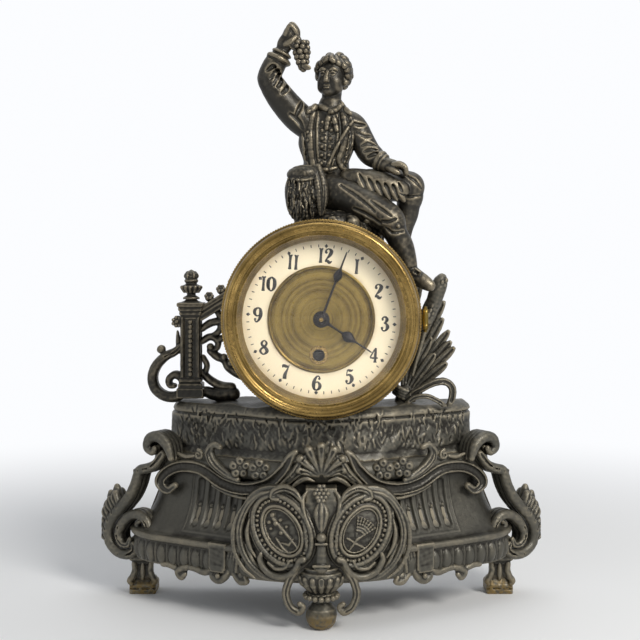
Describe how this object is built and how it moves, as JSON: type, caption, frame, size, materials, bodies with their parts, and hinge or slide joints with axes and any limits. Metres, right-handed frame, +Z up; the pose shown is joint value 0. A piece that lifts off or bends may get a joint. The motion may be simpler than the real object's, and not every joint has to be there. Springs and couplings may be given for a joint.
{
  "type": "figural mantel clock",
  "caption": "Figural mantel clock: cast case with a seated boy, pillar and wheat sheaf on a scrolled base with feet, hinged glazed bezel over a dial with hands, and a going train inside.",
  "frame": {"origin": "on the table, under the middle of the clock's bounding box", "axes": "+Z up, +X to the viewer's right, -Y towards the viewer who reads the dial"},
  "size_m": [0.2816, 0.1059, 0.3573],
  "materials": {
    "patinated_spelter": "cast zinc with a dark bronze patina, rubbed to a brassy tone on the high points",
    "brass": "turned, aged",
    "steel": "blued and darkened",
    "dial_paint": "cream with black numerals",
    "glass": "polished"
  },
  "bodies": {
    "case": {"plinth": "patinated_spelter", "cartouche": "patinated_spelter", "medallions": "patinated_spelter", "crest_band": "patinated_spelter", "front_foot": "patinated_spelter", "side_arm_left": "patinated_spelter", "side_arm_right": "patinated_spelter", "side_foot_left": "patinated_spelter", "side_foot_right": "patinated_spelter", "terrace": "patinated_spelter", "drum_case": "patinated_spelter", "pillar": "patinated_spelter", "pillar_finial": "patinated_spelter", "pillar_scroll": "patinated_spelter", "raking_rail": "patinated_spelter", "wheat_sheaf": "patinated_spelter", "seat_rock": "patinated_spelter", "figure_torso": "patinated_spelter", "figure_head": "patinated_spelter", "raised_arm": "patinated_spelter", "resting_arm": "patinated_spelter", "near_leg": "patinated_spelter", "far_leg": "patinated_spelter", "game_bag": "patinated_spelter", "grape_bunch": "patinated_spelter", "front_ring": "brass", "back_ring": "brass", "hinge_pins": "steel", "movement_straps": "brass", "strap_screws": "steel", "chapter_ring": "dial_paint", "dial_centre": "brass", "dial_bead": "brass", "winding_grommet": "brass", "front_plate": "brass", "back_plate": "brass", "plate_pillars": "brass", "anchor_cock": "brass"},
    "bezel": {"bezel_ring": "brass", "bezel_glass": "glass", "slip_ring": "brass"},
    "back_cover": {"back_cover": "brass"},
    "centre": {"centre_wheel": "brass", "cannon_pinion": "brass", "minute_hand": "steel", "hand_nut": "steel"},
    "hour": {"hour_wheel": "brass", "hour_hand": "steel"},
    "minute_work": {"minute_wheel": "brass"},
    "barrel": {"barrel": "brass", "barrel_cover": "brass", "mainspring": "steel"},
    "third": {"third_wheel": "brass"},
    "escape": {"escape_wheel": "brass"},
    "winding": {"winding_arbor": "steel", "ratchet_wheel": "steel"},
    "click": {"click": "steel"},
    "pendulum": {"anchor": "steel", "pendulum_rod": "steel", "pendulum_bob": "brass"}
  },
  "joints": [
    {"name": "bezel_hinge", "type": "hinge", "parent": "case", "child": "bezel", "pos_m": [0.0606, -0.0317, 0.177], "axis": [0, 0, 1], "range_deg": [0, 110]},
    {"name": "back_cover_hinge", "type": "hinge", "parent": "case", "child": "back_cover", "pos_m": [-0.0496, 0.0512, 0.177], "axis": [0, 0, 1], "range_deg": [0, 100]},
    {"name": "centre_spin", "type": "hinge", "parent": "case", "child": "centre", "pos_m": [0, -0.0065, 0.177], "axis": [0, 1, 0], "continuous": true},
    {"name": "hour_spin", "type": "hinge", "parent": "case", "child": "hour", "pos_m": [0, -0.0265, 0.177], "axis": [0, 1, 0], "continuous": true},
    {"name": "minute_work_spin", "type": "hinge", "parent": "case", "child": "minute_work", "pos_m": [-0.01197, -0.0245, 0.17784], "axis": [0, 1, 0], "continuous": true},
    {"name": "barrel_spin", "type": "hinge", "parent": "case", "child": "barrel", "pos_m": [-0.00146, -0.0065, 0.15605], "axis": [0, 1, 0], "continuous": true},
    {"name": "third_spin", "type": "hinge", "parent": "case", "child": "third", "pos_m": [0.00805, -0.0065, 0.18894], "axis": [0, 1, 0], "continuous": true},
    {"name": "escape_spin", "type": "hinge", "parent": "case", "child": "escape", "pos_m": [0.00162, -0.0065, 0.20019], "axis": [0, 1, 0], "continuous": true},
    {"name": "winding_spin", "type": "hinge", "parent": "case", "child": "winding", "pos_m": [-0.00146, -0.0145, 0.15605], "axis": [0, 1, 0], "continuous": true},
    {"name": "click_lift", "type": "hinge", "parent": "case", "child": "click", "pos_m": [0.00831, -0.0235, 0.15386], "axis": [0, 1, 0], "range_deg": [0, 15]},
    {"name": "pendulum_swing", "type": "hinge", "parent": "case", "child": "pendulum", "pos_m": [0.00243, 0.0055, 0.21168], "axis": [0, 1, 0], "range_deg": [-6, 6]}
  ],
  "couplings": [
    {"joint": "hour_spin", "follows": "centre_spin", "ratio": 0.083333},
    {"joint": "minute_work_spin", "follows": "centre_spin", "ratio": -0.33333},
    {"joint": "barrel_spin", "follows": "centre_spin", "ratio": -0.13514},
    {"joint": "third_spin", "follows": "centre_spin", "ratio": -15},
    {"joint": "escape_spin", "follows": "centre_spin", "ratio": 225}
  ]
}
